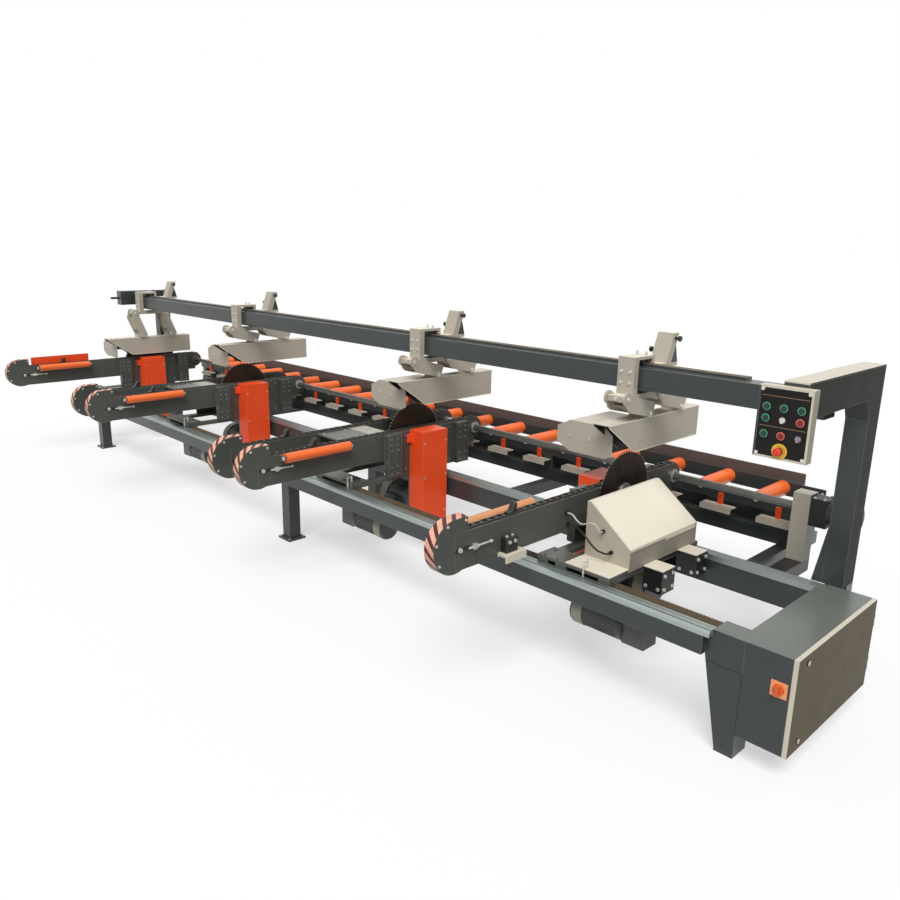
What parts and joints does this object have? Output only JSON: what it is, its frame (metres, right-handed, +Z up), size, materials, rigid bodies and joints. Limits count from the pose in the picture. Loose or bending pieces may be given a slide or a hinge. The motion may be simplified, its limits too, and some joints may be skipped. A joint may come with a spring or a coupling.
{
  "type": "cross-cut saw",
  "caption": "Multi-head cross-cut saw for boards: chain-fed saw heads on a long base, lifting hold-down hoods on an overhead beam, rear roller conveyor and operator panel.",
  "frame": {"origin": "On the floor, under the middle of the machine's bounding box", "axes": "+X along the machine towards the electrical cabinet, +Y from the infeed side to the roller conveyor, +Z up"},
  "size_m": [7.632, 2.412, 1.6553],
  "materials": {
    "anthracite_paint": "satin structure paint",
    "cream_paint": "satin paint",
    "orange_paint": "satin paint",
    "roller_orange": "gloss paint, rubbed by boards",
    "panel_black": "matt paint",
    "rail_steel": "ground and oiled",
    "shaft_steel": "drawn bright",
    "chain_steel": "oiled",
    "blade_steel": "dull, resin stained",
    "green_plastic": "moulded",
    "red_plastic": "moulded",
    "white_plastic": "moulded",
    "grey_plastic": "moulded",
    "black_plastic": "moulded"
  },
  "bodies": {
    "machine": {"base_frame": "anthracite_paint", "guide_rails": "rail_steel", "cabinet_shell": "anthracite_paint", "gantry_frame": "anthracite_paint", "control_box": "panel_black", "conveyor_frame": "anthracite_paint", "idle_rollers": "roller_orange", "chain_drive": "cream_paint", "carriage_4": "anthracite_paint", "feed_chain_4": "chain_steel", "belt_guard_4": "orange_paint", "press_carrier_4": "cream_paint"},
    "cabinet_door": {"cabinet_door": "cream_paint"},
    "main_switch": {"main_switch": "black_plastic"},
    "emergency_stop": {"emergency_stop": "red_plastic"},
    "push_button_1": {"push_button_1": "green_plastic"},
    "push_button_2": {"push_button_2": "green_plastic"},
    "push_button_3": {"push_button_3": "green_plastic"},
    "push_button_4": {"push_button_4": "green_plastic"},
    "push_button_5": {"push_button_5": "red_plastic"},
    "push_button_6": {"push_button_6": "green_plastic"},
    "push_button_7": {"push_button_7": "red_plastic"},
    "selector_1": {"selector_1": "white_plastic"},
    "selector_2": {"selector_2": "grey_plastic"},
    "drive_shaft": {"drive_shaft": "shaft_steel"},
    "saw_blade_1": {"saw_blade_1": "blade_steel"},
    "head_1": {"carriage_1": "anthracite_paint", "feed_chain_1": "chain_steel", "belt_guard_1": "orange_paint", "saw_cover_1": "cream_paint"},
    "press_carrier_1": {"press_carrier_1": "cream_paint"},
    "load_roller_1": {"load_roller_1": "roller_orange"},
    "drive_sprocket_1": {"drive_sprocket_1": "shaft_steel"},
    "press_front_link_1": {"press_front_link_1": "cream_paint"},
    "press_rear_link_1": {"press_rear_link_1": "cream_paint"},
    "press_hood_1": {"press_hood_1": "cream_paint"},
    "saw_blade_2": {"saw_blade_2": "blade_steel"},
    "head_2": {"carriage_2": "anthracite_paint", "feed_chain_2": "chain_steel", "belt_guard_2": "orange_paint"},
    "press_carrier_2": {"press_carrier_2": "cream_paint"},
    "load_roller_2": {"load_roller_2": "roller_orange"},
    "drive_sprocket_2": {"drive_sprocket_2": "shaft_steel"},
    "press_front_link_2": {"press_front_link_2": "cream_paint"},
    "press_rear_link_2": {"press_rear_link_2": "cream_paint"},
    "press_hood_2": {"press_hood_2": "cream_paint"},
    "saw_blade_3": {"saw_blade_3": "blade_steel"},
    "head_3": {"carriage_3": "anthracite_paint", "feed_chain_3": "chain_steel", "belt_guard_3": "orange_paint"},
    "press_carrier_3": {"press_carrier_3": "cream_paint"},
    "load_roller_3": {"load_roller_3": "roller_orange"},
    "drive_sprocket_3": {"drive_sprocket_3": "shaft_steel"},
    "press_front_link_3": {"press_front_link_3": "cream_paint"},
    "press_rear_link_3": {"press_rear_link_3": "cream_paint"},
    "press_hood_3": {"press_hood_3": "cream_paint"},
    "saw_blade_4": {"saw_blade_4": "blade_steel"},
    "press_front_link_4": {"press_front_link_4": "cream_paint"},
    "press_rear_link_4": {"press_rear_link_4": "cream_paint"},
    "press_hood_4": {"press_hood_4": "cream_paint"}
  },
  "joints": [
    {"name": "door_swing", "type": "hinge", "parent": "machine", "child": "cabinet_door", "pos_m": [3.802, 0.415, 0.3315], "axis": [0, 0, 1], "range_deg": [0, 110]},
    {"name": "main_switch_turn", "type": "hinge", "parent": "machine", "child": "main_switch", "pos_m": [3.7475, -0.435, 0.401], "axis": [0, 1, 0], "range_deg": [0, 90]},
    {"name": "emergency_stop_push", "type": "slide", "parent": "machine", "child": "emergency_stop", "axis": [0, 1, 0], "range_m": [0, 0.005]},
    {"name": "push_button_1_push", "type": "slide", "parent": "machine", "child": "push_button_1", "axis": [0, 1, 0], "range_m": [0, 0.004], "stiffness_N_per_m": 400},
    {"name": "push_button_2_push", "type": "slide", "parent": "machine", "child": "push_button_2", "axis": [0, 1, 0], "range_m": [0, 0.004], "stiffness_N_per_m": 400},
    {"name": "push_button_3_push", "type": "slide", "parent": "machine", "child": "push_button_3", "axis": [0, 1, 0], "range_m": [0, 0.004], "stiffness_N_per_m": 400},
    {"name": "push_button_4_push", "type": "slide", "parent": "machine", "child": "push_button_4", "axis": [0, 1, 0], "range_m": [0, 0.004], "stiffness_N_per_m": 400},
    {"name": "push_button_5_push", "type": "slide", "parent": "machine", "child": "push_button_5", "axis": [0, 1, 0], "range_m": [0, 0.004], "stiffness_N_per_m": 400},
    {"name": "push_button_6_push", "type": "slide", "parent": "machine", "child": "push_button_6", "axis": [0, 1, 0], "range_m": [0, 0.004], "stiffness_N_per_m": 400},
    {"name": "push_button_7_push", "type": "slide", "parent": "machine", "child": "push_button_7", "axis": [0, 1, 0], "range_m": [0, 0.004], "stiffness_N_per_m": 400},
    {"name": "selector_1_turn", "type": "hinge", "parent": "machine", "child": "selector_1", "pos_m": [3.592, -0.347, 1.461], "axis": [0, 1, 0], "range_deg": [-45, 45]},
    {"name": "selector_2_turn", "type": "hinge", "parent": "machine", "child": "selector_2", "pos_m": [3.66, -0.347, 1.398], "axis": [0, 1, 0], "range_deg": [-45, 45]},
    {"name": "chain_shaft_spin", "type": "hinge", "parent": "machine", "child": "drive_shaft", "pos_m": [0, 0.71, 0.8], "axis": [1, 0, 0], "continuous": true},
    {"name": "head_1_travel", "type": "slide", "parent": "machine", "child": "head_1", "axis": [1, 0, 0], "range_m": [-0.3, 0.2]},
    {"name": "press_1_travel", "type": "slide", "parent": "machine", "child": "press_carrier_1", "axis": [1, 0, 0], "range_m": [-0.3, 0.2]},
    {"name": "load_roller_1_spin", "type": "hinge", "parent": "head_1", "child": "load_roller_1", "pos_m": [2.442, -0.685, 0.855], "axis": [0, 1, 0], "continuous": true},
    {"name": "drive_sprocket_1_spin", "type": "hinge", "parent": "head_1", "child": "drive_sprocket_1", "pos_m": [2.512, 0.71, 0.8], "axis": [1, 0, 0], "continuous": true},
    {"name": "saw_blade_1_spin", "type": "hinge", "parent": "head_1", "child": "saw_blade_1", "pos_m": [2.557, 0.186, 0.808], "axis": [1, 0, 0], "continuous": true},
    {"name": "press_1_lift", "type": "hinge", "parent": "press_carrier_1", "child": "press_front_link_1", "pos_m": [2.567, 0.05, 1.345], "axis": [1, 0, 0], "range_deg": [-55, 0]},
    {"name": "press_1_rear_swing", "type": "hinge", "parent": "press_carrier_1", "child": "press_rear_link_1", "pos_m": [2.567, 0.37, 1.345], "axis": [1, 0, 0], "range_deg": [-55, 0]},
    {"name": "press_1_hood_level", "type": "hinge", "parent": "press_front_link_1", "child": "press_hood_1", "pos_m": [2.567, 0.26298, 1.24569], "axis": [1, 0, 0], "range_deg": [0, 55]},
    {"name": "head_2_travel", "type": "slide", "parent": "machine", "child": "head_2", "axis": [1, 0, 0], "range_m": [-0.3, 0.3]},
    {"name": "press_2_travel", "type": "slide", "parent": "machine", "child": "press_carrier_2", "axis": [1, 0, 0], "range_m": [-0.3, 0.3]},
    {"name": "load_roller_2_spin", "type": "hinge", "parent": "head_2", "child": "load_roller_2", "pos_m": [0.939, -0.685, 0.855], "axis": [0, 1, 0], "continuous": true},
    {"name": "drive_sprocket_2_spin", "type": "hinge", "parent": "head_2", "child": "drive_sprocket_2", "pos_m": [0.869, 0.71, 0.8], "axis": [1, 0, 0], "continuous": true},
    {"name": "saw_blade_2_spin", "type": "hinge", "parent": "head_2", "child": "saw_blade_2", "pos_m": [0.824, 0.186, 0.808], "axis": [1, 0, 0], "continuous": true},
    {"name": "press_2_lift", "type": "hinge", "parent": "press_carrier_2", "child": "press_front_link_2", "pos_m": [0.924, 0.05, 1.345], "axis": [1, 0, 0], "range_deg": [-55, 0]},
    {"name": "press_2_rear_swing", "type": "hinge", "parent": "press_carrier_2", "child": "press_rear_link_2", "pos_m": [0.924, 0.37, 1.345], "axis": [1, 0, 0], "range_deg": [-55, 0]},
    {"name": "press_2_hood_level", "type": "hinge", "parent": "press_front_link_2", "child": "press_hood_2", "pos_m": [0.924, 0.26298, 1.24569], "axis": [1, 0, 0], "range_deg": [0, 55]},
    {"name": "head_3_travel", "type": "slide", "parent": "machine", "child": "head_3", "axis": [1, 0, 0], "range_m": [-0.3, 0.3]},
    {"name": "press_3_travel", "type": "slide", "parent": "machine", "child": "press_carrier_3", "axis": [1, 0, 0], "range_m": [-0.3, 0.3]},
    {"name": "load_roller_3_spin", "type": "hinge", "parent": "head_3", "child": "load_roller_3", "pos_m": [-1.366, -0.685, 0.855], "axis": [0, 1, 0], "continuous": true},
    {"name": "drive_sprocket_3_spin", "type": "hinge", "parent": "head_3", "child": "drive_sprocket_3", "pos_m": [-1.436, 0.71, 0.8], "axis": [1, 0, 0], "continuous": true},
    {"name": "saw_blade_3_spin", "type": "hinge", "parent": "head_3", "child": "saw_blade_3", "pos_m": [-1.481, 0.186, 0.808], "axis": [1, 0, 0], "continuous": true},
    {"name": "press_3_lift", "type": "hinge", "parent": "press_carrier_3", "child": "press_front_link_3", "pos_m": [-1.446, 0.05, 1.345], "axis": [1, 0, 0], "range_deg": [-55, 0]},
    {"name": "press_3_rear_swing", "type": "hinge", "parent": "press_carrier_3", "child": "press_rear_link_3", "pos_m": [-1.446, 0.37, 1.345], "axis": [1, 0, 0], "range_deg": [-55, 0]},
    {"name": "press_3_hood_level", "type": "hinge", "parent": "press_front_link_3", "child": "press_hood_3", "pos_m": [-1.446, 0.26298, 1.24569], "axis": [1, 0, 0], "range_deg": [0, 55]},
    {"name": "saw_blade_4_spin", "type": "hinge", "parent": "machine", "child": "saw_blade_4", "pos_m": [-3.561, 0.186, 0.808], "axis": [1, 0, 0], "continuous": true},
    {"name": "press_4_lift", "type": "hinge", "parent": "machine", "child": "press_front_link_4", "pos_m": [-3.461, 0.05, 1.345], "axis": [1, 0, 0], "range_deg": [0, 55]},
    {"name": "press_4_rear_swing", "type": "hinge", "parent": "machine", "child": "press_rear_link_4", "pos_m": [-3.461, 0.37, 1.345], "axis": [1, 0, 0], "range_deg": [0, 55]},
    {"name": "press_4_hood_level", "type": "hinge", "parent": "press_front_link_4", "child": "press_hood_4", "pos_m": [-3.461, 0.09081, 1.11357], "axis": [1, 0, 0], "range_deg": [-55, 0]}
  ],
  "couplings": [
    {"joint": "press_1_travel", "follows": "head_1_travel", "ratio": 1},
    {"joint": "drive_sprocket_1_spin", "follows": "chain_shaft_spin", "ratio": 1},
    {"joint": "press_1_rear_swing", "follows": "press_1_lift", "ratio": 1},
    {"joint": "press_1_hood_level", "follows": "press_1_lift", "ratio": -1},
    {"joint": "press_2_travel", "follows": "head_2_travel", "ratio": 1},
    {"joint": "drive_sprocket_2_spin", "follows": "chain_shaft_spin", "ratio": 1},
    {"joint": "press_2_rear_swing", "follows": "press_2_lift", "ratio": 1},
    {"joint": "press_2_hood_level", "follows": "press_2_lift", "ratio": -1},
    {"joint": "press_3_travel", "follows": "head_3_travel", "ratio": 1},
    {"joint": "drive_sprocket_3_spin", "follows": "chain_shaft_spin", "ratio": 1},
    {"joint": "press_3_rear_swing", "follows": "press_3_lift", "ratio": 1},
    {"joint": "press_3_hood_level", "follows": "press_3_lift", "ratio": -1},
    {"joint": "press_4_rear_swing", "follows": "press_4_lift", "ratio": 1},
    {"joint": "press_4_hood_level", "follows": "press_4_lift", "ratio": -1}
  ]
}
